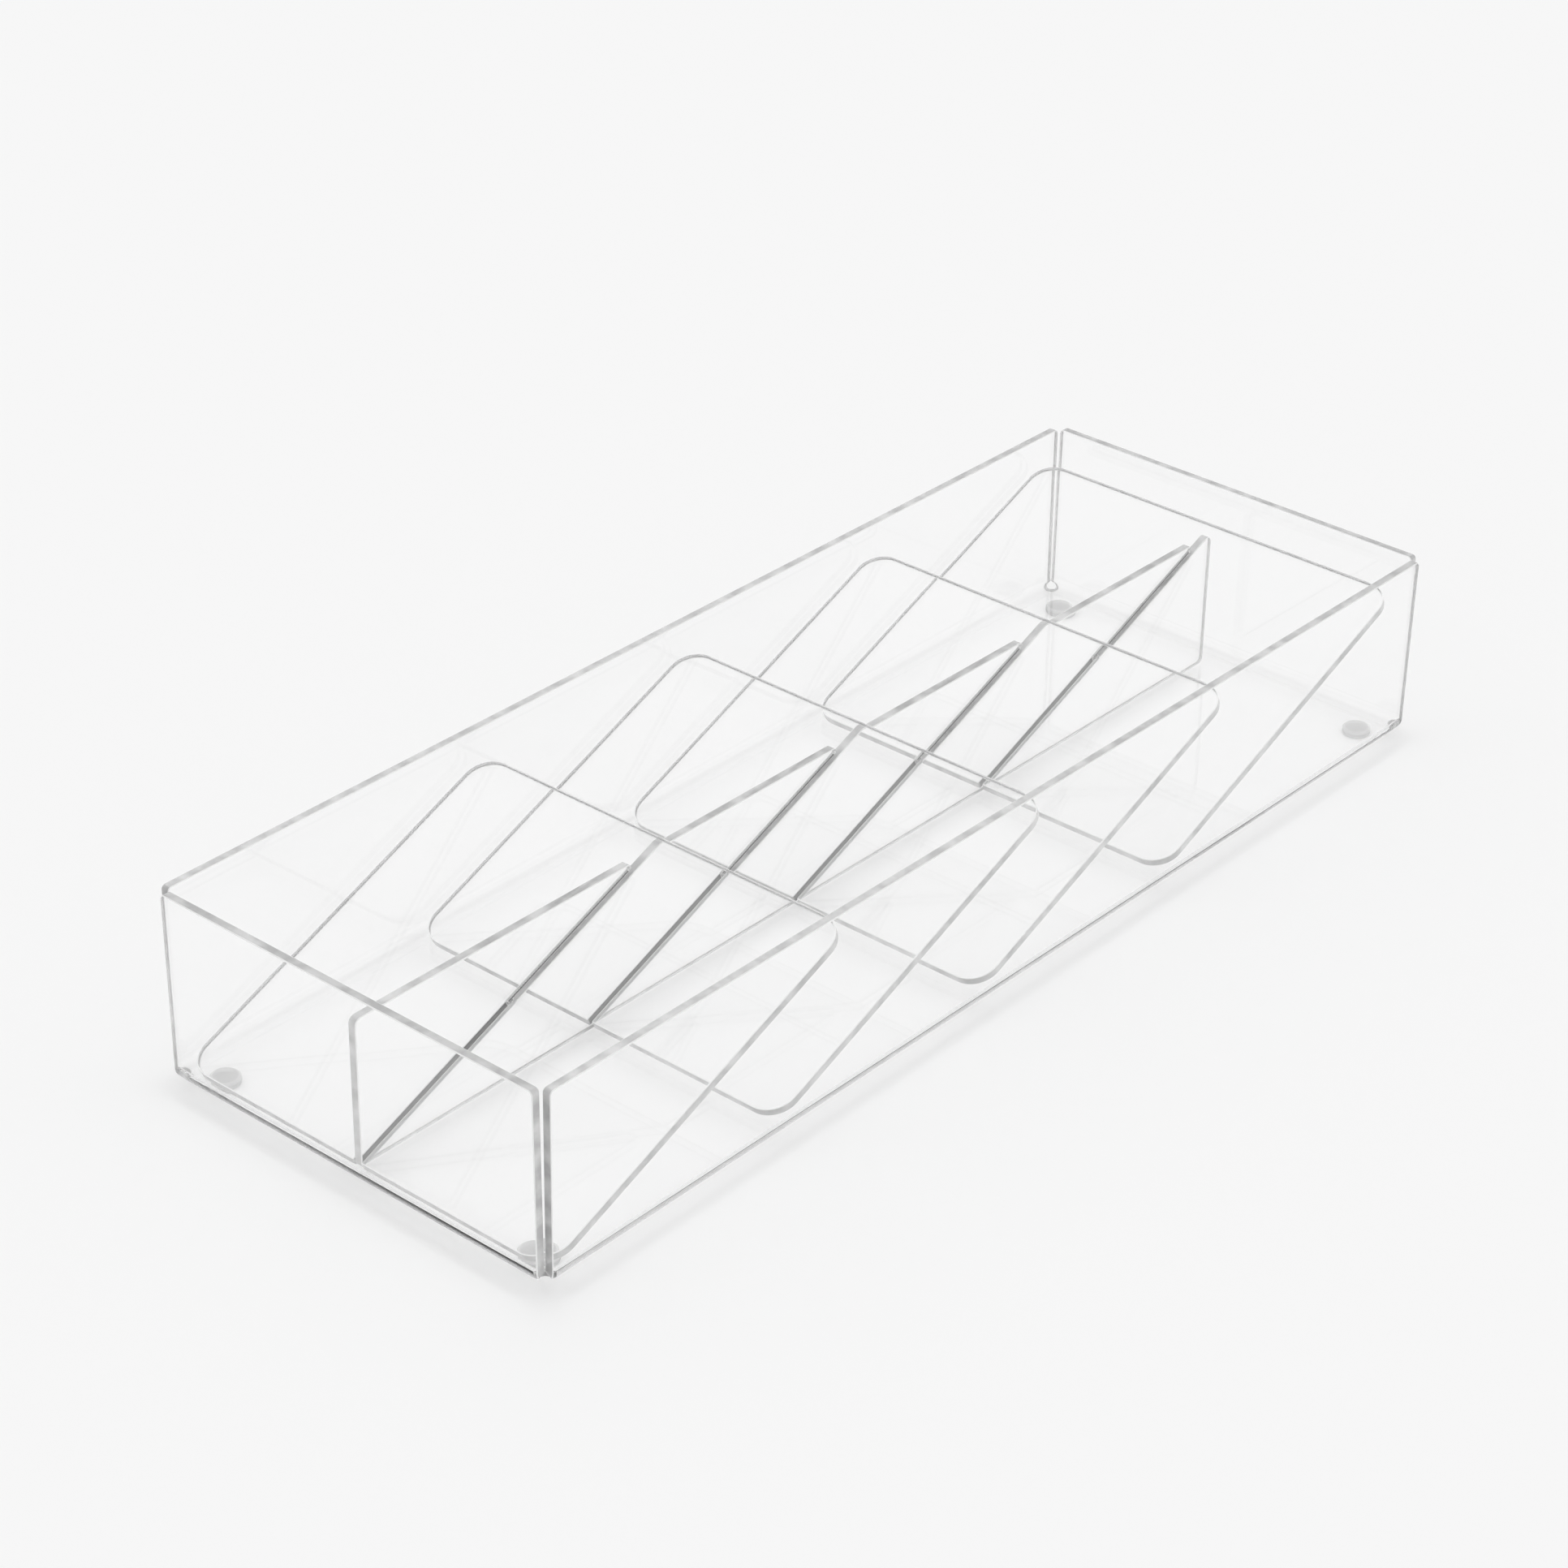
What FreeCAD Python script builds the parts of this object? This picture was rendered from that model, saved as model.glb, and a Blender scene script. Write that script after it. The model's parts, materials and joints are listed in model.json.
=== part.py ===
import FreeCAD, Part

import math
import os

import Sketcher

# A clear acrylic tray on four bumper feet.  A loose insert stands in it: one rib along the middle
# and four leaning dividers, half-lapped over the rib.
#
# Frame, in millimetres: X across the tray, Y from the front wall to the back wall, Z up.
# The origin is the middle of the footprint, on the surface that the feet stand on.

DIVIDERS = 4

DIMENSIONS = (
    ("tray_width", 205.0),            # outside, across the rim
    ("tray_length", 560.0),           # outside, along the rim
    ("tray_height", 86.8),            # underside of the base to the rim
    ("acrylic", 4.0),                 # thickness of every cut and bent sheet
    ("wall_lean", 0.4),               # degrees, each wall is bent this much short of square
    ("bend_radius", 7.5),             # outside radius of the four line bends
    ("notch", 4.6),                   # open square at each corner of the rim
    ("relief_radius", 3.6),           # round relief where two bends meet
    ("relief_inset", 6.4),            # its centre, from the corner of the rim
    ("relief_rise", 3.4),             # its centre, above the underside
    ("rim_corner", 2.0),              # rounded upper corners of the walls
    ("foot_diameter", 12.7),
    ("foot_height", 3.5),
    ("foot_edge", 0.8),               # rounded lower edge of a foot
    ("foot_side_inset", 19.2),        # foot centre to the outside of a side wall
    ("foot_end_inset", 16.6),         # foot centre to the outside of an end wall
    ("tilt", 22.5),                   # degrees, dividers above the base
    ("divider_width", 192.4),
    ("divider_length", 178.0),
    ("divider_corner", 12.0),
    ("divider_pitch", 123.7),
    ("first_divider", 8.4),           # outside of the front wall to the foot of divider 1
    ("divider_slot", 86.7),           # open slot from the divider's lower edge
    ("rib_front", 7.6),               # outside of the front wall to the rib's front edge
    ("rib_back", 541.0),              # outside of the front wall to the rib's back edge
    ("rib_height", 67.4),
    ("rib_solid", 84.7),              # along the divider, from its foot to the blind end of the rib's slot
    ("rib_corner", 3.0),              # rounded outer corners of the rib
    ("slot_tip", 1.6),                # rounding of the thin tip in front of a slot's mouth
    ("slot_lip", 2.0),                # rounding of the blunt corner behind a slot's mouth
    ("slot_play", 0.15),              # air on each side of a sheet in its slot
    ("floor_gap", 0.1),               # air under the insert
)
SIZE = dict(DIMENSIONS)

doc = FreeCAD.newDocument("leaning_divider_tray")

sheet = doc.addObject("Spreadsheet::Sheet", "Dimensions")
for row, (alias, value) in enumerate(DIMENSIONS, start=1):
    sheet.set("A%d" % row, alias)
    sheet.set("B%d" % row, str(value))
    sheet.setAlias("B%d" % row, alias)
doc.recompute()


def cell(expression):
    """Turns <alias> into a reference to the sheet."""
    return expression.replace("<", "Dimensions.").replace(">", "")


def new_body(label):
    body = doc.addObject("PartDesign::Body", label)
    body.Label = label
    return body


def origin_feature(body, role):
    return next(item for item in body.Origin.OriginFeatures if item.Role == role)


def new_sketch(body, role, name):
    sketch = body.newObject("Sketcher::SketchObject", name)
    sketch.AttachmentSupport = (origin_feature(body, role), [""])
    sketch.MapMode = "FlatFace"
    return sketch


def drive(sketch, name, expression, *values):
    """Adds a dimension to the sketch, names it and binds it to the sheet."""
    index = sketch.addConstraint(Sketcher.Constraint(*values))
    sketch.renameConstraint(index, name)
    sketch.setExpression("Constraints." + name, cell(expression))


def outline(sketch, points):
    """Straight lines through the points, joined end to end; line 0 starts at point 0."""
    ends = points[1:] + points[:1]
    for start, end in zip(points, ends):
        sketch.addGeometry(Part.LineSegment(FreeCAD.Vector(*start, 0), FreeCAD.Vector(*end, 0)), False)
    for index in range(len(points)):
        sketch.addConstraint(Sketcher.Constraint("Coincident", index, 2, (index + 1) % len(points), 1))


def rectangle(sketch, left, bottom, right, top):
    """A rectangle whose lines are, in order, the bottom, right, top and left sides."""
    outline(sketch, [(left, bottom), (right, bottom), (right, top), (left, top)])
    for line in (0, 2):
        sketch.addConstraint(Sketcher.Constraint("Horizontal", line))
    for line in (1, 3):
        sketch.addConstraint(Sketcher.Constraint("Vertical", line))


def pad(body, name, sketch, length, midplane=False):
    feature = body.newObject("PartDesign::Pad", name)
    feature.Profile = sketch
    feature.setExpression("Length", cell(length))
    if midplane:
        feature.SideType = "Symmetric"
    doc.recompute()
    return feature


def pocket_through(body, name, sketch):
    """Cuts through the whole body, both ways from the sketch."""
    volume = body.Shape.Volume
    feature = body.newObject("PartDesign::Pocket", name)
    feature.Profile = sketch
    feature.SideType = "Symmetric"
    feature.Type = "ThroughAll"
    doc.recompute()
    if not feature.Shape.Volume < volume - 1.0:
        raise RuntimeError(name + " removed no material")
    return feature


def fillet(body, name, base, wanted, radius):
    """Rounds every edge of the base feature that passes the test."""
    names = ["Edge%d" % (number + 1) for number, edge in enumerate(base.Shape.Edges) if wanted(edge)]
    if not names:
        raise RuntimeError(name + " found no edge")
    feature = body.newObject("PartDesign::Fillet", name)
    feature.Base = (base, names)
    feature.setExpression("Radius", cell(radius))
    doc.recompute()
    return feature


def mirror(body, name, feature, role):
    copy = body.newObject("PartDesign::Mirrored", name)
    copy.Originals = [feature]
    copy.MirrorPlane = (origin_feature(body, role), [""])
    body.Tip = copy
    doc.recompute()
    return copy


# Tray: one blank with four flaps, bent up along the edges of the base.


def wall_section(sketch, overall, half_size):
    """Section of a wall and its bend, from the edge of the flat base to the rim."""
    lean = math.radians(SIZE["wall_lean"])
    sine, cosine = math.sin(lean), math.cos(lean)
    outer = SIZE["bend_radius"]
    thick = SIZE["acrylic"]
    inner = outer - thick
    top = SIZE["tray_height"]
    centre = half_size - (top - outer) * math.tan(lean) - outer / cosine
    middle = FreeCAD.Vector(centre, outer, 0)
    axis = FreeCAD.Vector(0, 0, 1)
    points = {
        "base_under": (centre, 0.0),
        "bend_out": (centre + outer * cosine, outer - outer * sine),
        "rim_out": (half_size, top),
        "rim_in": (half_size - thick / cosine, top),
        "bend_in": (centre + inner * cosine, outer - inner * sine),
        "base_over": (centre, thick),
    }
    at = {name: FreeCAD.Vector(*point, 0) for name, point in points.items()}
    sketch.addGeometry(Part.ArcOfCircle(Part.Circle(middle, axis, outer), -math.pi / 2, -lean), False)
    sketch.addGeometry(Part.LineSegment(at["bend_out"], at["rim_out"]), False)
    sketch.addGeometry(Part.LineSegment(at["rim_out"], at["rim_in"]), False)
    sketch.addGeometry(Part.LineSegment(at["rim_in"], at["bend_in"]), False)
    sketch.addGeometry(Part.ArcOfCircle(Part.Circle(middle, axis, inner), -math.pi / 2, -lean), False)
    sketch.addGeometry(Part.LineSegment(at["base_over"], at["base_under"]), False)
    sketch.addConstraint(Sketcher.Constraint("Tangent", 0, 2, 1, 1))
    sketch.addConstraint(Sketcher.Constraint("Coincident", 1, 2, 2, 1))
    sketch.addConstraint(Sketcher.Constraint("Coincident", 2, 2, 3, 1))
    sketch.addConstraint(Sketcher.Constraint("Tangent", 3, 2, 4, 2))
    sketch.addConstraint(Sketcher.Constraint("Coincident", 4, 1, 5, 1))
    sketch.addConstraint(Sketcher.Constraint("Coincident", 5, 2, 0, 1))
    sketch.addConstraint(Sketcher.Constraint("Coincident", 0, 3, 4, 3))
    sketch.addConstraint(Sketcher.Constraint("Vertical", 5))
    sketch.addConstraint(Sketcher.Constraint("Vertical", 0, 1, 0, 3))
    sketch.addConstraint(Sketcher.Constraint("Horizontal", 2))
    sketch.addConstraint(Sketcher.Constraint("PointOnObject", 0, 1, -1))
    drive(sketch, "outer_radius", "<bend_radius>", "Radius", 0, outer)
    drive(sketch, "inner_radius", "<bend_radius> - <acrylic>", "Radius", 4, inner)
    drive(sketch, "rim_reach", "<%s> / 2" % overall, "DistanceX", -1, 1, 1, 2, half_size)
    drive(sketch, "rim_height", "<tray_height>", "DistanceY", -1, 1, 1, 2, top)
    drive(sketch, "lean", "90 - <wall_lean>", "Angle", -1, 1, 1, 1, math.pi / 2 - lean)


tray = new_body("tray")

# The flat base ends where the bends begin, so its size follows from the rim, the lean and the radius.
flat = "(<tray_height> - <bend_radius>) * tan(<wall_lean>) + <bend_radius> / cos(<wall_lean>)"
lean = math.radians(SIZE["wall_lean"])
edge = (SIZE["tray_height"] - SIZE["bend_radius"]) * math.tan(lean) + SIZE["bend_radius"] / math.cos(lean)
half_x = SIZE["tray_width"] / 2 - edge
half_y = SIZE["tray_length"] / 2 - edge
base_outline = new_sketch(tray, "XY_Plane", "BaseOutline")
rectangle(base_outline, -half_x, -half_y, half_x, half_y)
base_outline.addConstraint(Sketcher.Constraint("Symmetric", 0, 1, 1, 2, -1, 1))
drive(base_outline, "across", "<tray_width> - 2 * (%s)" % flat, "DistanceX", 0, 1, 0, 2, 2 * half_x)
drive(base_outline, "along", "<tray_length> - 2 * (%s)" % flat, "DistanceY", 1, 1, 1, 2, 2 * half_y)
doc.recompute()
pad(tray, "Base", base_outline, "<acrylic>")

side_section = new_sketch(tray, "XZ_Plane", "SideWallSection")
wall_section(side_section, "tray_width", SIZE["tray_width"] / 2)
side_wall = pad(tray, "SideWall", side_section, "<tray_length> - 2 * <notch>", midplane=True)
mirror(tray, "OtherSideWall", side_wall, "YZ_Plane")

end_section = new_sketch(tray, "YZ_Plane", "EndWallSection")
wall_section(end_section, "tray_length", SIZE["tray_length"] / 2)
end_wall = pad(tray, "EndWall", end_section, "<tray_width> - 2 * <notch>", midplane=True)
mirror(tray, "OtherEndWall", end_wall, "XZ_Plane")

for corner, (side, end) in enumerate(((-1, -1), (1, -1), (-1, 1), (1, 1)), start=1):
    relief = tray.newObject("PartDesign::SubtractiveSphere", "Relief%d" % corner)
    relief.AttachmentSupport = (origin_feature(tray, "XY_Plane"), [""])
    relief.MapMode = "FlatFace"
    relief.setExpression("Radius", cell("<relief_radius>"))
    across = "%d * (<tray_width> / 2 - <relief_inset>)" % side
    along = "%d * (<tray_length> / 2 - <relief_inset>)" % end
    relief.setExpression("AttachmentOffset.Base.x", cell(across))
    relief.setExpression("AttachmentOffset.Base.y", cell(along))
    relief.setExpression("AttachmentOffset.Base.z", cell("<relief_rise>"))
    doc.recompute()


def rim_corner_edge(edge):
    """The short edges through the sheet at the ends of the rim."""
    level = all(abs(vertex.Z - SIZE["tray_height"]) < 0.01 for vertex in edge.Vertexes)
    return level and edge.Length < 1.5 * SIZE["acrylic"]


fillet(tray, "RimCorners", tray.Tip, rim_corner_edge, "<rim_corner>")
tray.setExpression("Placement.Base.z", cell("<foot_height>"))

# Feet: clear bumpers stuck under the base.

for label, side, end in (
    ("foot_front_left", -1, -1),
    ("foot_front_right", 1, -1),
    ("foot_back_left", -1, 1),
    ("foot_back_right", 1, 1),
):
    foot = new_body(label)
    circle = new_sketch(foot, "XY_Plane", label + "_circle")
    centre = FreeCAD.Vector(0, 0, 0)
    radius = SIZE["foot_diameter"] / 2
    circle.addGeometry(Part.Circle(centre, FreeCAD.Vector(0, 0, 1), radius), False)
    circle.addConstraint(Sketcher.Constraint("Coincident", 0, 3, -1, 1))
    drive(circle, "across", "<foot_diameter>", "Diameter", 0, 2 * radius)
    disc = pad(foot, label + "_disc", circle, "<foot_height>")
    fillet(foot, label + "_edge", disc, lambda item: item.Closed and item.BoundBox.ZMax < 0.01, "<foot_edge>")
    foot.setExpression("Placement.Base.x", cell("%d * (<tray_width> / 2 - <foot_side_inset>)" % side))
    foot.setExpression("Placement.Base.y", cell("%d * (<tray_length> / 2 - <foot_end_inset>)" % end))

# Rib: stands on the base along the middle, with one slot open at the top for each divider.

tilt = math.radians(SIZE["tilt"])
along_divider = (math.cos(tilt), math.sin(tilt))
through_divider = (-math.sin(tilt), math.cos(tilt))
thick = SIZE["acrylic"]
play = SIZE["slot_play"]
rib_front = SIZE["rib_front"] - SIZE["tray_length"] / 2
rib_back = SIZE["rib_back"] - SIZE["tray_length"] / 2
rib_top = SIZE["rib_height"]
first_foot = SIZE["first_divider"] - SIZE["tray_length"] / 2


def on_divider(number, distance, depth):
    """Point in the rib's plane: distance up the divider's lower face, depth through its thickness."""
    start = first_foot + number * SIZE["divider_pitch"]
    y = start + distance * along_divider[0] + depth * through_divider[0]
    z = distance * along_divider[1] + depth * through_divider[1]
    return y, z


def mouth(number, depth):
    """Where a wall of a slot would reach the top of the rib."""
    distance = (rib_top - depth * through_divider[1]) / along_divider[1]
    return on_divider(number, distance, depth)


rib = new_body("centre_rib")
rib_outline = new_sketch(rib, "YZ_Plane", "RibOutline")
rectangle(rib_outline, rib_front, 0.0, rib_back, rib_top)
rib_outline.addConstraint(Sketcher.Constraint("PointOnObject", 0, 1, -1))
drive(rib_outline, "front", "<tray_length> / 2 - <rib_front>", "DistanceX", 0, 1, -1, 1, -rib_front)
drive(rib_outline, "back", "<rib_back> - <tray_length> / 2", "DistanceX", -1, 1, 0, 2, rib_back)
drive(rib_outline, "tall", "<rib_height>", "DistanceY", 1, 1, 1, 2, rib_top)
doc.recompute()
pad(rib, "RibPlate", rib_outline, "<acrylic>", midplane=True)

slot_outline = new_sketch(rib, "YZ_Plane", "SlotOutline")
slot_near, slot_far = SIZE["rib_solid"], SIZE["divider_length"] + 20.0
slot_corners = [
    on_divider(0, slot_near, -play),
    on_divider(0, slot_far, -play),
    on_divider(0, slot_far, thick + play),
    on_divider(0, slot_near, thick + play),
]
outline(slot_outline, slot_corners)
slot_outline.addConstraint(Sketcher.Constraint("Parallel", 0, 2))
slot_outline.addConstraint(Sketcher.Constraint("Perpendicular", 0, 1))
slot_outline.addConstraint(Sketcher.Constraint("Perpendicular", 0, 3))
drive(slot_outline, "tilt", "<tilt>", "Angle", 0, tilt)
drive(slot_outline, "gap", "<acrylic> + 2 * <slot_play>", "Distance", 1, 1, 1, 2, thick + 2 * play)
drive(slot_outline, "reach", "<divider_length> + 20 - <rib_solid>", "Distance", 0, 1, 0, 2, slot_far - slot_near)
drive(
    slot_outline,
    "start_y",
    "<tray_length> / 2 - <first_divider> - <rib_solid> * cos(<tilt>) - <slot_play> * sin(<tilt>)",
    "DistanceX", 0, 1, -1, 1, -slot_corners[0][0],
)
drive(
    slot_outline,
    "start_z",
    "<rib_solid> * sin(<tilt>) - <slot_play> * cos(<tilt>)",
    "DistanceY", -1, 1, 0, 1, slot_corners[0][1],
)
doc.recompute()
slot = pocket_through(rib, "Slot", slot_outline)
slots = rib.newObject("PartDesign::LinearPattern", "Slots")
slots.Originals = [slot]
slots.Direction = (origin_feature(rib, "Y_Axis"), [""])
slots.setExpression("Length", cell("%d * <divider_pitch>" % (DIVIDERS - 1)))
slots.Occurrences = DIVIDERS
rib.Tip = slots
doc.recompute()


def crosses_at(points):
    """Test for the short edges through the sheet at the given points of the rib's plane."""

    def wanted(edge):
        if abs(edge.BoundBox.XLength - thick) > 0.01 or edge.BoundBox.YLength > 0.01:
            return False
        centre = edge.CenterOfMass
        return any(abs(centre.y - y) < 0.05 and abs(centre.z - z) < 0.05 for y, z in points)

    return wanted


tips = [mouth(number, thick + play) for number in range(DIVIDERS)]
lips = [mouth(number, -play) for number in range(DIVIDERS - 1)]
last_rise = (rib_back - on_divider(DIVIDERS - 1, 0.0, -play)[0]) * math.tan(tilt)
last_tip = (rib_back, on_divider(DIVIDERS - 1, 0.0, -play)[1] + last_rise)
rib_corners = [(rib_front, 0.0), (rib_back, 0.0), (rib_front, rib_top), last_tip]
rounded_tips = fillet(rib, "SlotTips", slots, crosses_at(tips), "<slot_tip>")
rounded_lips = fillet(rib, "SlotLips", rounded_tips, crosses_at(lips), "<slot_lip>")
fillet(rib, "RibCorners", rounded_lips, crosses_at(rib_corners), "<rib_corner>")
rib.setExpression("Placement.Base.z", cell("<foot_height> + <acrylic> + <floor_gap>"))

# Dividers: equal rounded plates, slotted from the lower edge to drop over the rib.

half_width = SIZE["divider_width"] / 2
half_slot = thick / 2 + play

for number in range(DIVIDERS):
    label = "divider_%d" % (number + 1)
    divider = new_body(label)
    plate_outline = new_sketch(divider, "XY_Plane", label + "_outline")
    rectangle(plate_outline, -half_width, 0.0, half_width, SIZE["divider_length"])
    plate_outline.addConstraint(Sketcher.Constraint("Symmetric", 0, 1, 0, 2, -1, 1))
    drive(plate_outline, "wide", "<divider_width>", "DistanceX", 0, 1, 0, 2, 2 * half_width)
    drive(plate_outline, "long", "<divider_length>", "DistanceY", 1, 1, 1, 2, SIZE["divider_length"])
    doc.recompute()
    plate = pad(divider, label + "_plate", plate_outline, "<acrylic>")
    rounded = fillet(
        divider,
        label + "_corners",
        plate,
        lambda item: abs(item.BoundBox.ZLength - thick) < 0.01,
        "<divider_corner>",
    )
    lap_outline = new_sketch(divider, "XY_Plane", label + "_lap_outline")
    rectangle(lap_outline, -half_slot, -5.0, half_slot, SIZE["divider_slot"])
    drive(lap_outline, "half_gap", "<acrylic> / 2 + <slot_play>", "DistanceX", 0, 1, -1, 1, half_slot)
    drive(lap_outline, "gap", "<acrylic> + 2 * <slot_play>", "DistanceX", 0, 1, 0, 2, 2 * half_slot)
    drive(lap_outline, "depth", "<divider_slot>", "DistanceY", -1, 1, 1, 2, SIZE["divider_slot"])
    drive(lap_outline, "outside", "5", "DistanceY", 0, 1, -1, 1, 5.0)
    doc.recompute()
    pocket_through(divider, label + "_lap", lap_outline)
    foot_y = "<first_divider> - <tray_length> / 2 + %d * <divider_pitch>" % number
    start = FreeCAD.Vector(0, first_foot + number * SIZE["divider_pitch"], 0)
    divider.Placement = FreeCAD.Placement(start, FreeCAD.Rotation(FreeCAD.Vector(1, 0, 0), SIZE["tilt"]))
    divider.setExpression("Placement.Base.y", cell(foot_y))
    divider.setExpression("Placement.Base.z", cell("<foot_height> + <acrylic> + <floor_gap>"))
    divider.setExpression("Placement.Rotation.Angle", cell("<tilt>"))

doc.recompute()

for item in doc.Objects:
    if "Invalid" in item.State or "Error" in item.State:
        raise RuntimeError("%s is in state %s" % (item.Name, item.State))

os.makedirs("parts", exist_ok=True)
for body in doc.findObjects("PartDesign::Body"):
    shape = body.Shape
    if shape.isNull() or not shape.isValid() or len(shape.Solids) != 1:
        raise RuntimeError(body.Label + " is not one valid solid")
    shape.exportStep("parts/" + body.Label + ".step")
    box = shape.BoundBox
    print(body.Label, [round(value, 2) for value in (box.XMin, box.XMax, box.YMin, box.YMax, box.ZMin, box.ZMax)])
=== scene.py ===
"""Clear acrylic display tray on bumper feet, with a lift-out rib and leaning dividers."""

import json
import math

import bpy
import numpy as np
from mathutils import Matrix, Vector


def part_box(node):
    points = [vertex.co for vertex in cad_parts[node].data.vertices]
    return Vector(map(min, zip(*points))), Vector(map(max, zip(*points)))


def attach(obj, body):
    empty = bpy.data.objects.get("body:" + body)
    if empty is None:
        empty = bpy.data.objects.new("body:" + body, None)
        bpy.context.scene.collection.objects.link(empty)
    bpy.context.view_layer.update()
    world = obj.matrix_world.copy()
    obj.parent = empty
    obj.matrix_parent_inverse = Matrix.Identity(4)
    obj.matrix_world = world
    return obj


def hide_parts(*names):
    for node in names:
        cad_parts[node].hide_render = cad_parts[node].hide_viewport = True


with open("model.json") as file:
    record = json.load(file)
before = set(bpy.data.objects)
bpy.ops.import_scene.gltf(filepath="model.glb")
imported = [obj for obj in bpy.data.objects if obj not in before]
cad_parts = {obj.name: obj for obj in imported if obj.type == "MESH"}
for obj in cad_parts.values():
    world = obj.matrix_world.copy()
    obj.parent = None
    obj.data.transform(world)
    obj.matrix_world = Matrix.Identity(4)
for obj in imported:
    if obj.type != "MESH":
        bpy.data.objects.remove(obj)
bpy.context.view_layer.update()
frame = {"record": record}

bl_info = {
    "name": "Leaning Divider Tray",
    "version": (1, 0, 0),
    "blender": (4, 5, 0),
    "location": "View3D > Sidebar > Tray",
    "description": "Builds a clear acrylic display tray with a lift-out insert of leaning dividers",
    "category": "Add Mesh",
}

MM = 0.001
TRAY_BODY = "tray"
INSERT_BODY = "insert"
DIVIDERS = ("divider_1", "divider_2", "divider_3", "divider_4")
FEET = ("foot_front_left", "foot_front_right", "foot_back_left", "foot_back_right")

# Places of a cut sheet's finishes in its list of materials.
FACE, CUT, ARRIS, WALL = range(4)

ACRYLIC_IOR = 1.49
POLYURETHANE_IOR = 1.5

# Sizes of the patterns' features, and the depth of the relief on a cut.
HAZE_PATCH = 11.1 * MM
CUT_PATCH = 9.1 * MM
CUT_GRAIN = 1.43 * MM
ARRIS_GRAIN = 2.5 * MM
MOULDED_SKIN = 1.11 * MM
CUT_RELIEF = 0.05 * MM

# The teeth along the edge of the painted reflection on a slot's wall: their pitch, and how far their feet
# lie past the middle of the wall.
STRIATION = 1.3 * MM
TOOTH_FOOT = 0.2 * MM

# Small roundings of the laser's path: the blind end of a slot and the mouth of a divider's slot.
BLIND_CORNER = 0.3 * MM
MOUTH_CORNER = 0.6 * MM

# Points on each run of a flap's outline.
RELIEF_POINTS = 18
EASE_POINTS = 6
BEND_POINTS = 6
RIM_POINTS = 9

# A foot's rounding, its sides, and the air that keeps its top off the base.
FOOT_ROUND = 1.2 * MM
FOOT_SIDES = 64
FOOT_AIR = 0.05 * MM

# Stage.  The dome is grey up to the first height, the sine of an elevation, and white from the second.
# The floor, the camera's place and its clipping are in metres, its sensor in mm, its turns in degrees.
FLOOR_REACH = 8.0
HORIZON_TONE = 0.8
HORIZON_TOP = 0.15
WHITE_FROM = 0.45
SENSOR_WIDTH = 36
NEAR_CLIP = 0.05
FAR_CLIP = 50
CAMERA_PLACE = (0.9141, -1.0963, 0.8910)
CAMERA_AZIMUTH = 40.682
CAMERA_ELEVATION = 30.347
CAMERA_ROLL = 0.811

# A ray that runs along inside a sheet meets its faces dozens of times.
CLEAR_BOUNCES = 48
DIFFUSE_BOUNCES = 4

TRAY_LOW, TRAY_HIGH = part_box("tray")
RIB_LOW, RIB_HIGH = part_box("centre_rib")
SLOPE = next(
    joint["axis"] for joint in frame["record"]["behaviour"]["joints"] if joint["name"] == "divider_1_pull"
)
TILT = math.atan2(SLOPE[2], SLOPE[1])


# Sizes and colours that a user would change.


class TraySheetSizes(bpy.types.PropertyGroup):
    """Stock and forming sizes of the acrylic."""

    thick: bpy.props.FloatProperty(
        name="Sheet",
        description="Thickness of the acrylic sheet",
        default=4 * MM,
        unit="LENGTH",
    )
    bend: bpy.props.FloatProperty(
        name="Bend radius",
        description="Outside radius of the line bends",
        default=7.5 * MM,
        unit="LENGTH",
    )
    lean: bpy.props.FloatProperty(
        name="Wall lean",
        description="Angle that each wall leans out from upright",
        default=math.radians(0.4),
        subtype="ANGLE",
    )
    notch: bpy.props.FloatProperty(
        name="Notch",
        description="Side of the open square at each corner of the rim",
        default=4.6 * MM,
        unit="LENGTH",
    )
    relief: bpy.props.FloatProperty(
        name="Relief",
        description="Radius of the hole where two bends meet",
        default=3.3 * MM,
        unit="LENGTH",
    )
    rim_corner: bpy.props.FloatProperty(
        name="Rim corner",
        description="Rounding of the upper corners of the walls",
        default=2 * MM,
        unit="LENGTH",
    )
    arris: bpy.props.FloatProperty(
        name="Arris",
        description="Rounding where a cut edge meets a face",
        default=0.4 * MM,
        unit="LENGTH",
    )


class InsertSizes(bpy.types.PropertyGroup):
    """Sizes of the rib and the dividers."""

    rib_solid: bpy.props.FloatProperty(
        name="Rib lap",
        description="Solid rib under each divider, along its slope",
        default=84.7 * MM,
        unit="LENGTH",
    )
    divider_slot: bpy.props.FloatProperty(
        name="Divider slot",
        description="Length of the slot in a divider",
        default=86.7 * MM,
        unit="LENGTH",
    )
    divider_corner: bpy.props.FloatProperty(
        name="Divider corner",
        description="Rounding of a divider's corners",
        default=12 * MM,
        unit="LENGTH",
    )
    play: bpy.props.FloatProperty(
        name="Slot play",
        description="Air on each side of a sheet in its slot",
        default=0.15 * MM,
        unit="LENGTH",
    )
    tip: bpy.props.FloatProperty(
        name="Slot tip",
        description="Rounding of the thin tip in front of a slot",
        default=1.6 * MM,
        unit="LENGTH",
    )
    lip: bpy.props.FloatProperty(
        name="Slot lip",
        description="Rounding of the blunt corner behind a slot",
        default=2 * MM,
        unit="LENGTH",
    )
    rib_corner: bpy.props.FloatProperty(
        name="Rib corner",
        description="Rounding of the rib's outer corners",
        default=3 * MM,
        unit="LENGTH",
    )


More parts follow.
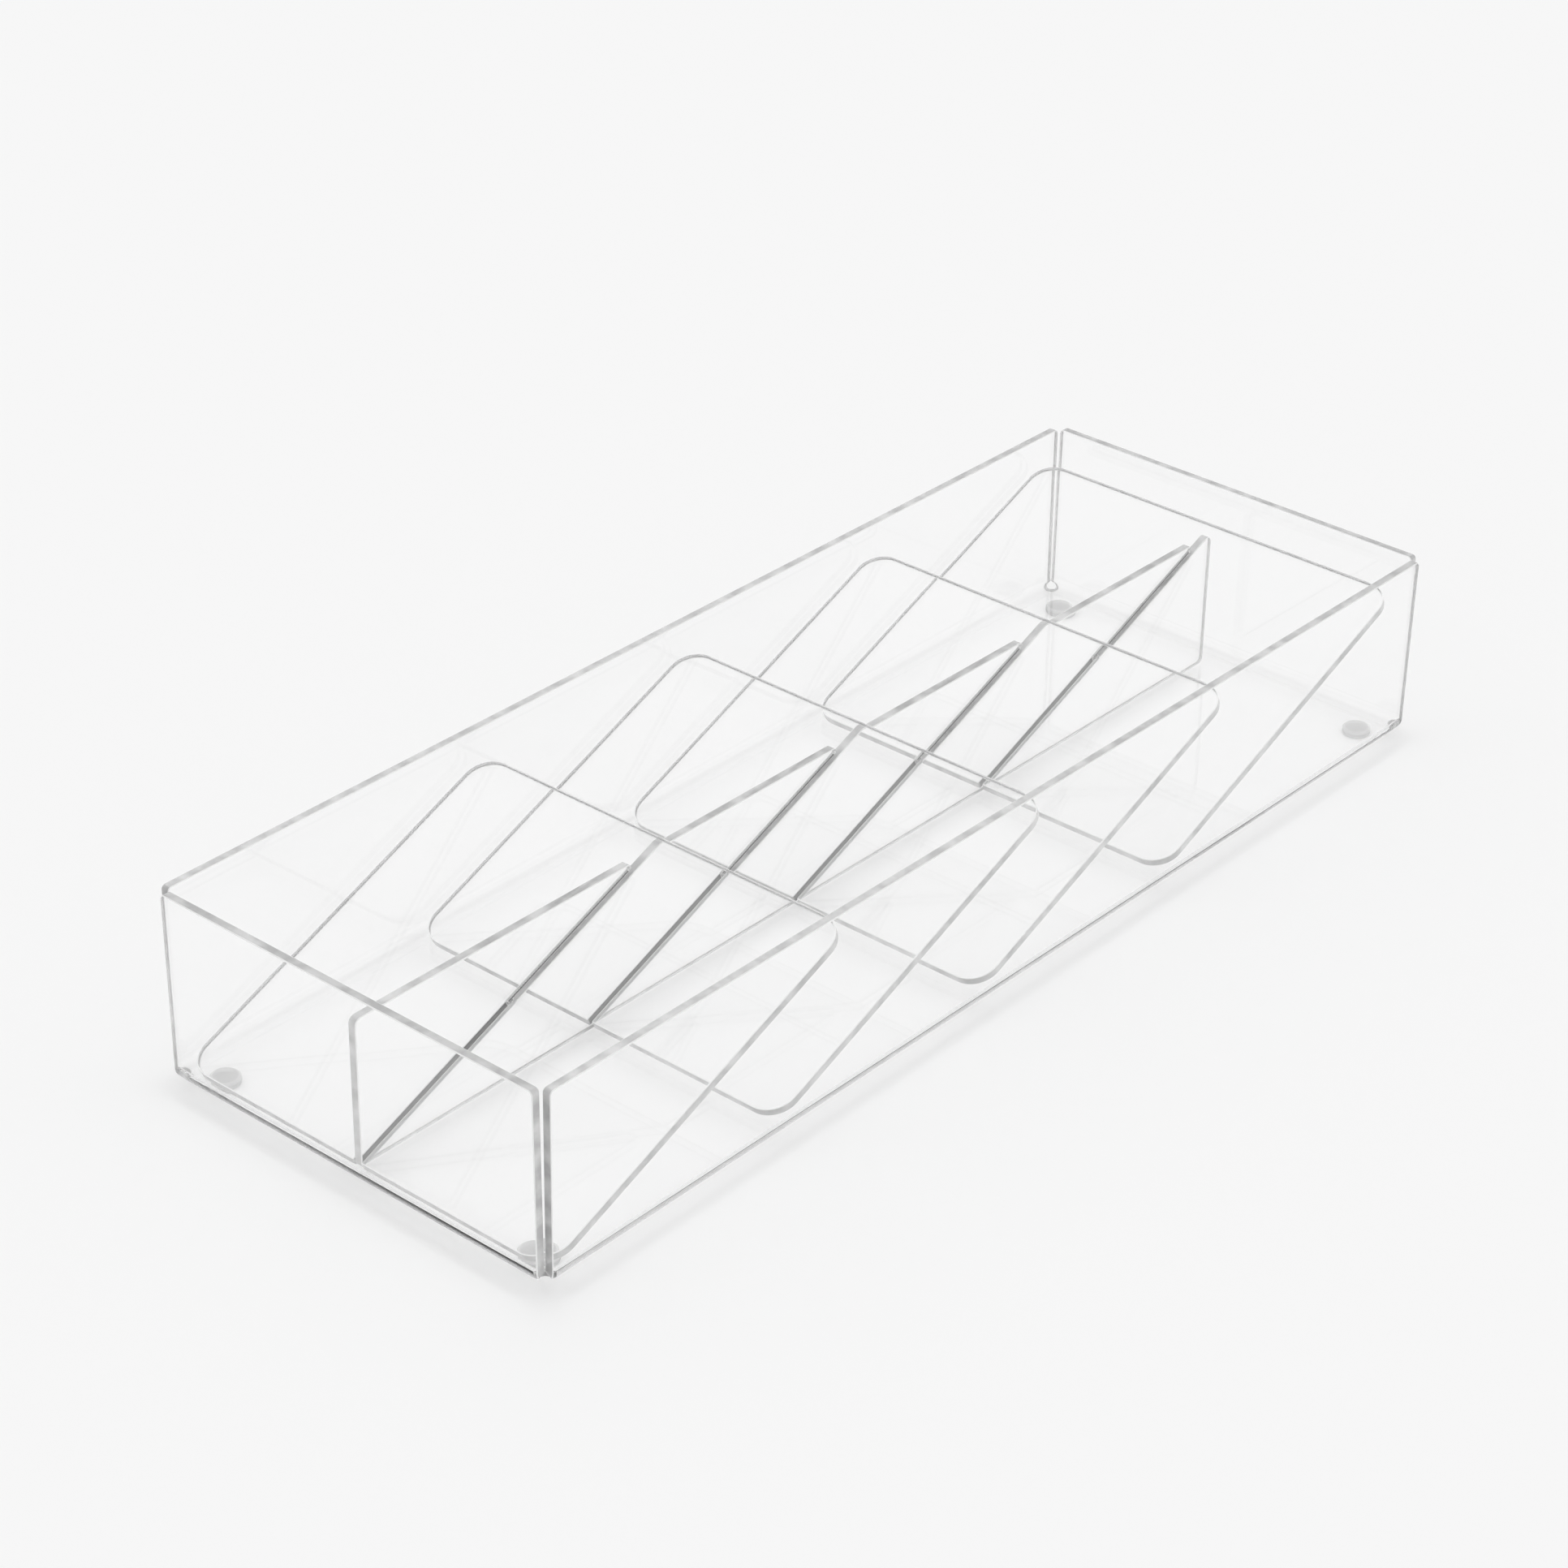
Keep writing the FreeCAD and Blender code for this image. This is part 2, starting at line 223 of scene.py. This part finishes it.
class StageSettings(bpy.types.PropertyGroup):
    """Colours and light of the studio."""

    floor_colour: bpy.props.StringProperty(
        name="Floor",
        description="sRGB hex colour of the floor",
        default="F9F9F9",
    )
    dome_strength: bpy.props.FloatProperty(
        name="Dome",
        description="Strength of the white light dome",
        default=1.0,
        min=0.0,
    )
    lens: bpy.props.FloatProperty(
        name="Lens",
        description="Focal length on a 36 mm wide sensor, in millimetres",
        default=91.64,
        min=1.0,
    )


SETTINGS = {
    "tray_sheet": TraySheetSizes,
    "tray_insert": InsertSizes,
    "tray_stage": StageSettings,
}


# Colour and node helpers.


def linear(hex_colour):
    """Linear RGBA from an sRGB hex string."""
    channels = [int(hex_colour[start : start + 2], 16) / 255 for start in (0, 2, 4)]
    curve = [c / 12.92 if c <= 0.04045 else ((c + 0.055) / 1.055) ** 2.4 for c in channels]
    return (*curve, 1.0)


def add_node(tree, kind, inputs=(), **settings):
    """Adds a node, sets its properties and fills its inputs with values or links."""
    node = tree.nodes.new(kind)
    for key, value in settings.items():
        setattr(node, key, value)
    for key, value in dict(inputs).items():
        if isinstance(value, bpy.types.NodeSocket):
            tree.links.new(value, node.inputs[key])
        else:
            node.inputs[key].default_value = value
    return node


def new_material(name):
    """A material whose node tree is still empty, and that tree."""
    material = bpy.data.materials.new(name)
    material.use_nodes = True
    material.node_tree.nodes.clear()
    return material, material.node_tree


def object_place(tree):
    """Object coordinates, in metres."""
    return add_node(tree, "ShaderNodeTexCoord").outputs["Object"]


def noise(tree, size, detail):
    """Noise with features of about this length; its scale is their number per metre, to the nearest ten."""
    inputs = {"Vector": object_place(tree), "Scale": round(1 / size, -1), "Detail": detail}
    return add_node(tree, "ShaderNodeTexNoise", inputs).outputs["Fac"]


def spread(tree, value, low, high, start=0.0, end=1.0):
    """Runs from low, where the value is start or less, up to high, where it is end or more."""
    inputs = {"Value": value, "From Min": start, "From Max": end, "To Min": low, "To Max": high}
    return add_node(tree, "ShaderNodeMapRange", inputs).outputs["Result"]


def blend(tree, amount, first, second):
    """Mixes two sRGB hex colours: the first where the amount is 0, the second where it is 1."""
    inputs = {0: amount, 6: linear(first), 7: linear(second)}
    return add_node(tree, "ShaderNodeMix", inputs, data_type="RGBA").outputs[2]


def work_out(tree, operation, first, second):
    """One step of arithmetic on two values or links."""
    return add_node(tree, "ShaderNodeMath", {0: first, 1: second}, operation=operation).outputs["Value"]


def finish(tree, sockets):
    """Ends a material in a Principled shader with these values and links on its sockets."""
    shader = add_node(tree, "ShaderNodeBsdfPrincipled", sockets)
    add_node(tree, "ShaderNodeOutputMaterial", {"Surface": shader.outputs["BSDF"]})


def polished_acrylic(name):
    """Cast PMMA, faces as polished in the mould: IOR 1.49, water clear and optically flat.

    Handling leaves a faint haze in patches about 11 mm across, which only shows in the gloss."""
    material, tree = new_material(name)
    haze = noise(tree, HAZE_PATCH, 1.0)
    sockets = {
        "Base Color": linear("FFFFFF"),
        "Roughness": spread(tree, haze, 0.0, 0.004, start=0.6, end=0.8),
        "IOR": ACRYLIC_IOR,
        "Transmission Weight": 1.0,
    }
    finish(tree, sockets)
    return material


def cut_acrylic(name):
    """Laser-cut PMMA edge: the cut is satin, so it scatters the light that the sheet carries to it.

    The striations that the laser leaves, 1.3 mm apart, are drawn as a grain of about that size, and
    the cut runs from satin grey to nearly white in patches about 9 mm long; the nearly white patches are
    painted highlights."""
    material, tree = new_material(name)
    grain = noise(tree, CUT_GRAIN, 2.0)
    patches = spread(tree, noise(tree, CUT_PATCH, 3.0), 0.0, 1.0, start=0.36, end=0.64)
    relief = add_node(tree, "ShaderNodeBump", {"Height": grain, "Strength": 0.35, "Distance": CUT_RELIEF})
    sockets = {
        # The nearly white patches along the cut are painted highlights.
        "Base Color": blend(tree, patches, "CCCCCC", "F2F2F2"),
        "Roughness": spread(tree, grain, 0.16, 0.3),
        "IOR": ACRYLIC_IOR,
        "Transmission Weight": 0.45,
        "Normal": relief.outputs["Normal"],
    }
    finish(tree, sockets)
    return material


def arris_painted_highlight(name):
    """The broken corner of a cut sheet: a narrow facet, coloured nearly white as a painted highlight along
    the edge.

    Its grain, in the roughness and in the painted highlight, is drawn about 2.5 mm long, coarser than real
    so that it shows."""
    material, tree = new_material(name)
    grain = noise(tree, ARRIS_GRAIN, 2.0)
    sockets = {
        # Nearly white: a painted highlight along each edge of the sheet.
        "Base Color": blend(tree, grain, "F4F4F4", "FFFFFF"),
        "Roughness": spread(tree, grain, 0.05, 0.2),
        "IOR": ACRYLIC_IOR,
        "Transmission Weight": 0.25,
    }
    finish(tree, sockets)
    return material


def slot_painted_reflection(name, dark, side):
    """Wall of a laser-cut slot, with a painted reflection: the dark band that the clear sheets mirror in
    it.

    The white dome gives the sheets nothing dark to mirror, so the band is a painted reflection in the
    wall's own colour, and it shows as painted when the slot is empty.  It covers the right half if side is
    -1 and the left half if it is 1.  The striations, 1.3 mm apart, show as a row of teeth along the edge of
    the
    painted reflection: the wall is dark where side * X is less than the distance along the slope to the
    nearest multiple of STRIATION, less TOOTH_FOOT."""
    material, tree = new_material(name)
    here = object_place(tree)
    along = add_node(tree, "ShaderNodeVectorMath", {0: here, 1: SLOPE}, operation="DOT_PRODUCT")
    tooth = work_out(tree, "PINGPONG", along.outputs["Value"], STRIATION / 2)
    limit = work_out(tree, "SUBTRACT", tooth, TOOTH_FOOT)
    across = add_node(tree, "ShaderNodeSeparateXYZ", {"Vector": here}).outputs["X"]
    # Painted reflection: 1 where the wall is coloured dark, up to the row of teeth.
    reflection_mask = work_out(tree, "LESS_THAN", work_out(tree, "MULTIPLY", across, side), limit)
    sockets = {
        "Base Color": blend(tree, reflection_mask, "E0E0E0", dark),
        "Roughness": 0.3,
        "IOR": ACRYLIC_IOR,
        "Transmission Weight": 0.1,
    }
    finish(tree, sockets)
    return material


def sheet_materials(name):
    """The finishes of one cut sheet, in the order of the numbers FACE, CUT and ARRIS."""
    return [
        polished_acrylic(name + "_face_acrylic"),
        cut_acrylic(name + "_cut_acrylic"),
        arris_painted_highlight(name + "_arris_painted_highlight"),
    ]


def bumper_rubber(name, colour):
    """Clear moulded polyurethane: IOR 1.5, soft gloss, slightly milky.

    The mould's fine skin is drawn about 1.1 mm across, coarser than real so that it shows."""
    material, tree = new_material(name)
    skin = noise(tree, MOULDED_SKIN, 2.0)
    sockets = {
        "Base Color": linear(colour),
        "Roughness": spread(tree, skin, 0.08, 0.2),
        "IOR": POLYURETHANE_IOR,
        "Transmission Weight": 0.4,
    }
    finish(tree, sockets)
    return material


# Surfaces.


def rounded_outline(corners, radii, steps=6):
    """Closed outline, counter-clockwise, with an arc in each corner.

    An arc of radius r starts r / tan(half the corner angle) from the corner on either run, and turns
    the direction of the first run into that of the second.  Returns the points and their outward
    normals; a straight run has no point but the ends of its arcs."""
    corners = np.asarray(corners, float)
    radii = np.asarray(radii, float)[:, None]
    before = corners - np.roll(corners, 1, axis=0)
    after = np.roll(corners, -1, axis=0) - corners
    before /= np.linalg.norm(before, axis=1, keepdims=True)
    after /= np.linalg.norm(after, axis=1, keepdims=True)
    turn = np.arctan2(
        before[:, 0] * after[:, 1] - before[:, 1] * after[:, 0], (before * after).sum(axis=1)
    )[:, None]
    reach = radii * np.tan(np.abs(turn) / 2)
    left = np.stack([-before[:, 1], before[:, 0]], axis=1)
    side = np.sign(turn)
    centre = corners - before * reach + left * radii * side
    first = np.arctan2(before[:, 1], before[:, 0])[:, None]
    heading = first + turn * np.linspace(0, 1, steps + 1)[None, :]
    outward = np.stack([np.sin(heading), -np.cos(heading)], axis=2)
    points = centre[:, None, :] + outward * (radii * side)[:, :, None]
    return points.reshape(-1, 2), outward.reshape(-1, 2)


def edge_profile(thick, arris, steps=3):
    """Section of a cut edge: a quarter round, the straight cut, a quarter round.

    Returns the inset from the outline, the height in the sheet, and the outward and upward parts of
    the normal, one row per point."""
    lower = np.linspace(0, math.pi / 2, steps + 1)
    upper = lower + math.pi / 2
    angle = np.concatenate([lower, upper])
    lift = np.concatenate([np.zeros(steps + 1), np.full(steps + 1, thick - 2 * arris)])
    inset = arris * (1 - np.sin(angle))
    height = arris * (1 - np.cos(angle)) + lift
    return inset, height, np.sin(angle), -np.cos(angle)


def ring_faces(count, rows):
    """Quads of a closed ring of columns; column i is vertices i * rows to i * rows + rows - 1."""
    column, row = np.meshgrid(np.arange(count), np.arange(rows - 1), indexing="ij")
    here, following = column * rows + row, (column + 1) % count * rows + row
    return np.stack([here, following, following + 1, here + 1], axis=2).reshape(-1, 4)


def edge_finishes(columns, rows, walls=()):
    """Finish of each face round a cut edge: the middle row of quads is the cut, the others the arrises.

    In the columns listed in walls the cut is a slot's wall."""
    finishes = np.full((columns, rows - 1), ARRIS, dtype=np.int32)
    finishes[:, rows // 2 - 1] = CUT
    finishes[list(walls), rows // 2 - 1] = WALL
    return finishes.reshape(-1)


def new_piece(name, points, normals, faces, finishes, materials, body, nodes):
    """Makes the mesh and ties it to the CAD; the faces past the end of finishes are the polished ones."""
    mesh = bpy.data.meshes.new(name)
    mesh.from_pydata(points.tolist(), [], [list(map(int, face)) for face in faces])
    for material in materials:
        mesh.materials.append(material)
    index = np.full(len(faces), FACE, dtype=np.int32)
    index[: len(finishes)] = finishes
    mesh.polygons.foreach_set("material_index", index)
    mesh.polygons.foreach_set("use_smooth", np.ones(len(faces), dtype=bool))
    mesh.normals_split_custom_set_from_vertices(normals.tolist())
    mesh.validate()
    piece = bpy.data.objects.new(name, mesh)
    bpy.context.scene.collection.objects.link(piece)
    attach(piece, body)
    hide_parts(*nodes)
    return piece


def plate_mesh(outline, outward, thick, arris, walls=()):
    """Flat plate: the edge profile carried round the outline, with a flat face over each end of it.

    Returns points in (outline x, outline y, height), normals, faces and the finishes of the edge."""
    inset, height, out, up = edge_profile(thick, arris)
    rows = len(inset)
    flat = outline[:, None, :] - outward[:, None, :] * inset[None, :, None]
    points = np.concatenate([flat, np.broadcast_to(height[None, :, None], flat.shape[:2] + (1,))], axis=2)
    level = outward[:, None, :] * out[None, :, None]
    normals = np.concatenate([level, np.broadcast_to(up[None, :, None], level.shape[:2] + (1,))], axis=2)
    edge = ring_faces(len(outline), rows)
    start = np.arange(len(outline)) * rows
    faces = list(edge) + [start[::-1], start + rows - 1]
    return points.reshape(-1, 3), normals.reshape(-1, 3), faces, edge_finishes(len(outline), rows, walls)


def carry(vectors, x_axis, y_axis, z_axis, origin=(0, 0, 0)):
    """Carries an array of vectors into the frame of three axes and an origin."""
    return vectors @ np.array([x_axis, y_axis, z_axis], float) + np.array(origin, float)


# Tray.


def flap_half_path(arc, reach, notch, relief, rim_corner):
    """Half of a flap's outline in the flat blank, from a corner of the base to the middle of the rim.

    The first coordinate runs out from the bend line and the second beyond the end of it.  The relief
    is a circle through the corner of the base, with its centre on the corner's diagonal, so it starts
    at -135 degrees.  A quarter round leads from it to the notch line, which runs on to the round
    corner of the rim.  Returns the points, their outward normals and the number of the last point on
    the bend."""
    centre = relief / math.sqrt(2)
    ease = notch - centre
    angle = np.linspace(-0.75 * math.pi, 0, RELIEF_POINTS)
    circle_out = -np.stack([np.cos(angle), np.sin(angle)], axis=1)
    circle = centre - relief * circle_out
    turn = np.linspace(math.pi, math.pi / 2, EASE_POINTS)[1:]
    ease_out = np.stack([np.cos(turn), np.sin(turn)], axis=1)
    ease_round = np.array([centre + relief + ease, notch - ease]) + ease * ease_out
    along = np.linspace(centre + relief + ease, arc, BEND_POINTS)[1:]
    line = np.stack([along, np.full(len(along), notch)], axis=1)
    line_out = np.tile([0.0, 1.0], (len(along), 1))
    turn = np.linspace(math.pi / 2, 0, RIM_POINTS)
    rim_out = np.stack([np.cos(turn), np.sin(turn)], axis=1)
    rim = np.array([reach - rim_corner, notch - rim_corner]) + rim_corner * rim_out
    points = np.concatenate([circle, ease_round, line, rim])
    outward = np.concatenate([circle_out, ease_out, line_out, rim_out])
    bend_end = len(circle) + len(ease_round) + len(line) - 1
    return points, outward, bend_end


def tray_mesh(sheet):
    """One cross-shaped blank with four flaps, each rolled up over its bend line.

    A point s out from the bend line and w up through the sheet goes to
    (rho sin(phi), bend - rho cos(phi)) with rho = bend - w and phi = s / neutral radius, and past the
    bend on along the tangent."""
    thick, bend, lean = sheet.thick, sheet.bend, sheet.lean
    size = TRAY_HIGH - TRAY_LOW
    turned = math.pi / 2 - lean
    neutral = bend - thick / 2
    arc = neutral * turned
    rise = size.z
    foot_in = (rise - bend) * math.tan(lean) + bend / math.cos(lean)
    half_x = size.x / 2 - foot_in
    half_y = size.y / 2 - foot_in
    reach = arc + (rise - bend + bend * math.cos(turned)) / math.sin(turned)
    over = foot_in - sheet.notch
    half, half_out, bend_end = flap_half_path(arc, reach, over, sheet.relief, sheet.rim_corner)
    count = len(half)
    inset, height, out, up = edge_profile(thick, sheet.arris)
    rows = len(inset)
    columns = []
    for (out_x, out_y), start, end in (
        ((1, 0), half_x, half_y),
        ((0, 1), half_y, half_x),
        ((-1, 0), half_x, half_y),
        ((0, -1), half_y, half_x),
    ):
        first = np.stack([half[:, 0], -(end + half[:, 1])], axis=1)
        second = np.stack([half[:, 0], end + half[:, 1]], axis=1)[::-1]
        path = np.concatenate([first, second])[:-1]
        first_out = half_out * [1, -1]
        path_out = np.concatenate([first_out, half_out[::-1]])[:-1]
        flat = path[:, None, :] - path_out[:, None, :] * inset[None, :, None]
        along, beside = flat[..., 0], flat[..., 1]
        phi = np.clip(along / neutral, 0, turned)
        rho = bend - height[None, :]
        extra = np.where(along > arc, along - arc, 0) + np.minimum(along, 0)
        outwards = start + rho * np.sin(phi) + extra * np.cos(phi)
        upwards = bend - rho * np.cos(phi) + extra * np.sin(phi)
        x = outwards * out_x - beside * out_y
        y = outwards * out_y + beside * out_x
        side_s = path_out[:, None, 0] * out[None, :]
        side_c = path_out[:, None, 1] * out[None, :]
        level = side_s * np.cos(phi) - up[None, :] * np.sin(phi)
        normal_z = side_s * np.sin(phi) + up[None, :] * np.cos(phi)
        normal_x = level * out_x - side_c * out_y
        normal_y = level * out_y + side_c * out_x
        point = np.stack([x, y, upwards + TRAY_LOW.z], axis=2)
        columns.append((point, np.stack([normal_x, normal_y, normal_z], axis=2)))
    points = np.concatenate([column[0] for column in columns])
    normals = np.concatenate([column[1] for column in columns])
    total = len(points)
    flaps = range(len(columns))
    per_flap = total // len(columns)
    edge = ring_faces(total, rows)
    faces = list(edge)
    for layer, step in ((0, -1), (rows - 1, 1)):
        corner = np.array([flap * per_flap for flap in flaps]) * rows + layer
        faces.append(corner[::step])
        for flap in flaps:
            near = flap * per_flap + np.arange(bend_end + 1)
            far = flap * per_flap + 2 * count - 1 - np.arange(bend_end + 1)
            near, far = near % total * rows + layer, far % total * rows + layer
            ladder = np.stack([near[:-1], near[1:], far[1:], far[:-1]], axis=1)
            faces.extend(ladder[:, ::step])
            rim = (flap * per_flap + np.arange(bend_end, 2 * count - bend_end)) % total * rows + layer
            faces.append(rim[::step])
    return points.reshape(-1, 3), normals.reshape(-1, 3), faces, edge_finishes(total, rows)


class MESH_OT_tray_shell(bpy.types.Operator):
    """Line-bent tray with open, relieved corners"""

    bl_idname = "mesh.tray_shell"
    bl_label = "Tray"

    def execute(self, context):
        points, normals, faces, finishes = tray_mesh(context.scene.tray_sheet)
        materials = sheet_materials("tray")
        new_piece(
            "tray_shell", points, normals, faces, finishes, materials, TRAY_BODY, ["tray"]
        )
        return {"FINISHED"}


# Insert.


def divider_start(name):
    """Point under the middle of a divider: the lower corner of its foot."""
    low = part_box(name)[0]
    return Vector((0, low.y + bpy.context.scene.tray_sheet.thick * math.sin(TILT), low.z))


class MESH_OT_tray_rib(bpy.types.Operator):
    """Upright rib with a slanted slot for each divider"""

    bl_idname = "mesh.tray_rib"
    bl_label = "Centre rib"

    def execute(self, context):
        sheet, insert = context.scene.tray_sheet, context.scene.tray_insert
        thick, play = sheet.thick, insert.play
        up_slope = np.array([math.cos(TILT), math.sin(TILT)])
        through = np.array([-math.sin(TILT), math.cos(TILT)])
        top, back = RIB_HIGH.z, RIB_HIGH.y
        corners = [(RIB_LOW.y, RIB_LOW.z), (back, RIB_LOW.z)]
        radii = [insert.rib_corner, insert.rib_corner]
        walls = []
        for name in reversed(DIVIDERS):
            start = divider_start(name)
            under = np.array([start.y, start.z]) - through * play
            over = under + through * (thick + 2 * play)
            to_top = (top - under[1]) / up_slope[1]
            if under[0] + to_top * up_slope[0] > back:
                corners.append(under + up_slope * (back - under[0]) / up_slope[0])
                radii.append(insert.rib_corner)
            else:
                corners.append(under + up_slope * to_top)
                radii.append(insert.lip)
            walls.append(len(corners) + 1)
            corners.append(under + up_slope * insert.rib_solid)
            corners.append(over + up_slope * insert.rib_solid)
            corners.append(over + up_slope * (top - over[1]) / up_slope[1])
            radii.extend([BLIND_CORNER, BLIND_CORNER, insert.tip])
        corners.append((RIB_LOW.y, top))
        radii.append(insert.rib_corner)
        steps = 6
        outline, outward = rounded_outline(corners, radii, steps)
        walls = [corner * (steps + 1) + steps for corner in walls]
        points, normals, faces, finishes = plate_mesh(outline, outward, thick, sheet.arris, walls)
        axes = ((0, 1, 0), (0, 0, 1), (1, 0, 0))
        points = carry(points, *axes, origin=(-thick / 2, 0, 0))
        normals = carry(normals, *axes)
        # The rib's slot walls carry a near-black painted reflection.
        materials = sheet_materials("rib") + [slot_painted_reflection("rib_slot_painted_reflection", "080808", -1)]
        new_piece(
            "rib_plate",
            points,
            normals,
            faces,
            finishes,
            materials,
            INSERT_BODY,
            ["centre_rib"],
        )
        return {"FINISHED"}


class MESH_OT_tray_dividers(bpy.types.Operator):
    """Leaning dividers, each slotted from its lower edge"""

    bl_idname = "mesh.tray_dividers"
    bl_label = "Dividers"

    def execute(self, context):
        sheet, insert = context.scene.tray_sheet, context.scene.tray_insert
        thick = sheet.thick
        low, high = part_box(DIVIDERS[0])
        half = (high.x - low.x) / 2
        length = (high.y - low.y - thick * math.sin(TILT)) / math.cos(TILT)
        slot = thick / 2 + insert.play
        corners = [
            (slot, 0),
            (half, 0),
            (half, length),
            (-half, length),
            (-half, 0),
            (-slot, 0),
            (-slot, insert.divider_slot),
            (slot, insert.divider_slot),
        ]
        radii = [MOUTH_CORNER] + [insert.divider_corner] * 4 + [MOUTH_CORNER] + [BLIND_CORNER] * 2
        steps = 12
        outline, outward = rounded_outline(corners, radii, steps)
        walls = [corner * (steps + 1) + steps for corner in (5, 7)]
        points, normals, faces, finishes = plate_mesh(outline, outward, thick, sheet.arris, walls)
        axes = ((1, 0, 0), (0, math.cos(TILT), math.sin(TILT)), (0, -math.sin(TILT), math.cos(TILT)))
        # The dividers' slot walls carry a grey painted reflection.
        materials = sheet_materials("divider") + [slot_painted_reflection("divider_slot_painted_reflection", "707070", 1)]
        for name in DIVIDERS:
            here = carry(points, *axes, origin=divider_start(name))
            turned = carry(normals, *axes)
            new_piece(
                name + "_plate", here, turned, faces, finishes, materials, name, [name]
            )
        return {"FINISHED"}


class MESH_OT_tray_feet(bpy.types.Operator):
    """Clear round bumper feet"""

    bl_idname = "mesh.tray_feet"
    bl_label = "Bumper feet"

    def execute(self, context):
        # The rim's white is a painted highlight: the ring that a foot's rounded edges show through the
        # base.
        materials = [
            bumper_rubber("clear_polyurethane", "ECECEC"),
            bumper_rubber("clear_polyurethane_rim_highlight", "FFFFFF"),
        ]
        for name in FEET:
            low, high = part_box(name)
            centre = (low + high) / 2
            radius = (high.x - low.x) / 2
            angle = np.arange(FOOT_SIDES) * math.tau / FOOT_SIDES
            outward = np.stack([np.cos(angle), np.sin(angle)], axis=1)
            height = high.z - low.z - FOOT_AIR
            points, normals, faces, finishes = plate_mesh(outward * radius, outward, height, FOOT_ROUND)
            # The rounded edges take the rim's painted highlight.
            rim = (finishes == ARRIS).astype(np.int32)
            points = points + np.array([centre.x, centre.y, low.z])
            new_piece(
                name + "_bumper",
                points,
                normals,
                faces,
                rim,
                materials,
                TRAY_BODY,
                [name],
            )
        return {"FINISHED"}


class SCENE_OT_tray_stage(bpy.types.Operator):
    """Pale floor, light dome and camera"""

    bl_idname = "scene.tray_stage"
    bl_label = "Stage"

    def execute(self, context):
        stage = context.scene.tray_stage
        scene = context.scene
        mesh = bpy.data.meshes.new("floor")
        signs = ((-1, -1), (1, -1), (1, 1), (-1, 1))
        mesh.from_pydata([(x * FLOOR_REACH, y * FLOOR_REACH, 0) for x, y in signs], [], [(0, 1, 2, 3)])
        floor = bpy.data.objects.new("floor", mesh)
        scene.collection.objects.link(floor)
        material, tree = new_material("pale_floor")
        finish(
            tree, {"Base Color": linear(stage.floor_colour), "Roughness": 0.9, "Specular IOR Level": 0.0}
        )
        mesh.materials.append(material)

        world = bpy.data.worlds.new("light_dome")
        world.use_nodes = True
        tree = world.node_tree
        tree.nodes.clear()
        direction = add_node(tree, "ShaderNodeTexCoord")
        split = add_node(tree, "ShaderNodeSeparateXYZ", {"Vector": direction.outputs["Generated"]})
        ramp = add_node(tree, "ShaderNodeValToRGB", {"Fac": split.outputs["Z"]})
        grey, white = ramp.color_ramp.elements
        grey.position = HORIZON_TOP
        grey.color = (HORIZON_TONE, HORIZON_TONE, HORIZON_TONE, 1)
        white.position = WHITE_FROM
        white.color = (1, 1, 1, 1)
        dome = add_node(
            tree, "ShaderNodeBackground", {"Color": ramp.outputs["Color"], "Strength": stage.dome_strength}
        )
        add_node(tree, "ShaderNodeOutputWorld", {"Surface": dome.outputs["Background"]})
        scene.world = world

        data = bpy.data.cameras.new("camera")
        data.sensor_width = SENSOR_WIDTH
        data.lens = stage.lens
        data.clip_start = NEAR_CLIP
        data.clip_end = FAR_CLIP
        camera = bpy.data.objects.new("camera", data)
        scene.collection.objects.link(camera)
        turn = (
            Matrix.Rotation(math.radians(CAMERA_AZIMUTH), 4, "Z")
            @ Matrix.Rotation(math.pi / 2 - math.radians(CAMERA_ELEVATION), 4, "X")
            @ Matrix.Rotation(math.radians(CAMERA_ROLL), 4, "Z")
        )
        camera.matrix_world = Matrix.Translation(Vector(CAMERA_PLACE)) @ turn
        scene.camera = camera

        scene.view_settings.view_transform = "Standard"
        scene.cycles.max_bounces = CLEAR_BOUNCES
        scene.cycles.transmission_bounces = CLEAR_BOUNCES
        scene.cycles.glossy_bounces = CLEAR_BOUNCES
        scene.cycles.blur_glossy = 0.0
        scene.cycles.diffuse_bounces = DIFFUSE_BOUNCES
        return {"FINISHED"}


class VIEW3D_PT_tray(bpy.types.Panel):
    """Builds the tray, piece by piece"""

    bl_idname = "VIEW3D_PT_tray"
    bl_label = "Leaning Divider Tray"
    bl_space_type = "VIEW_3D"
    bl_region_type = "UI"
    bl_category = "Tray"

    def draw(self, context):
        for attribute, group in SETTINGS.items():
            box = self.layout.box()
            for name in group.__annotations__:
                box.prop(getattr(context.scene, attribute), name)
        for operator in OPERATORS:
            self.layout.operator(operator.bl_idname)


OPERATORS = (
    SCENE_OT_tray_stage,
    MESH_OT_tray_shell,
    MESH_OT_tray_feet,
    MESH_OT_tray_rib,
    MESH_OT_tray_dividers,
)


def register():
    for group in SETTINGS.values():
        bpy.utils.register_class(group)
    for operator in OPERATORS:
        bpy.utils.register_class(operator)
    bpy.utils.register_class(VIEW3D_PT_tray)
    for attribute, group in SETTINGS.items():
        setattr(bpy.types.Scene, attribute, bpy.props.PointerProperty(type=group))


def unregister():
    for attribute in SETTINGS:
        delattr(bpy.types.Scene, attribute)
    bpy.utils.unregister_class(VIEW3D_PT_tray)
    for operator in reversed(OPERATORS):
        bpy.utils.unregister_class(operator)
    for group in reversed(list(SETTINGS.values())):
        bpy.utils.unregister_class(group)


def main():
    register()
    bpy.ops.scene.tray_stage()
    bpy.ops.mesh.tray_shell()
    bpy.ops.mesh.tray_feet()
    bpy.ops.mesh.tray_rib()
    bpy.ops.mesh.tray_dividers()


if __name__ == "__main__":
    main()
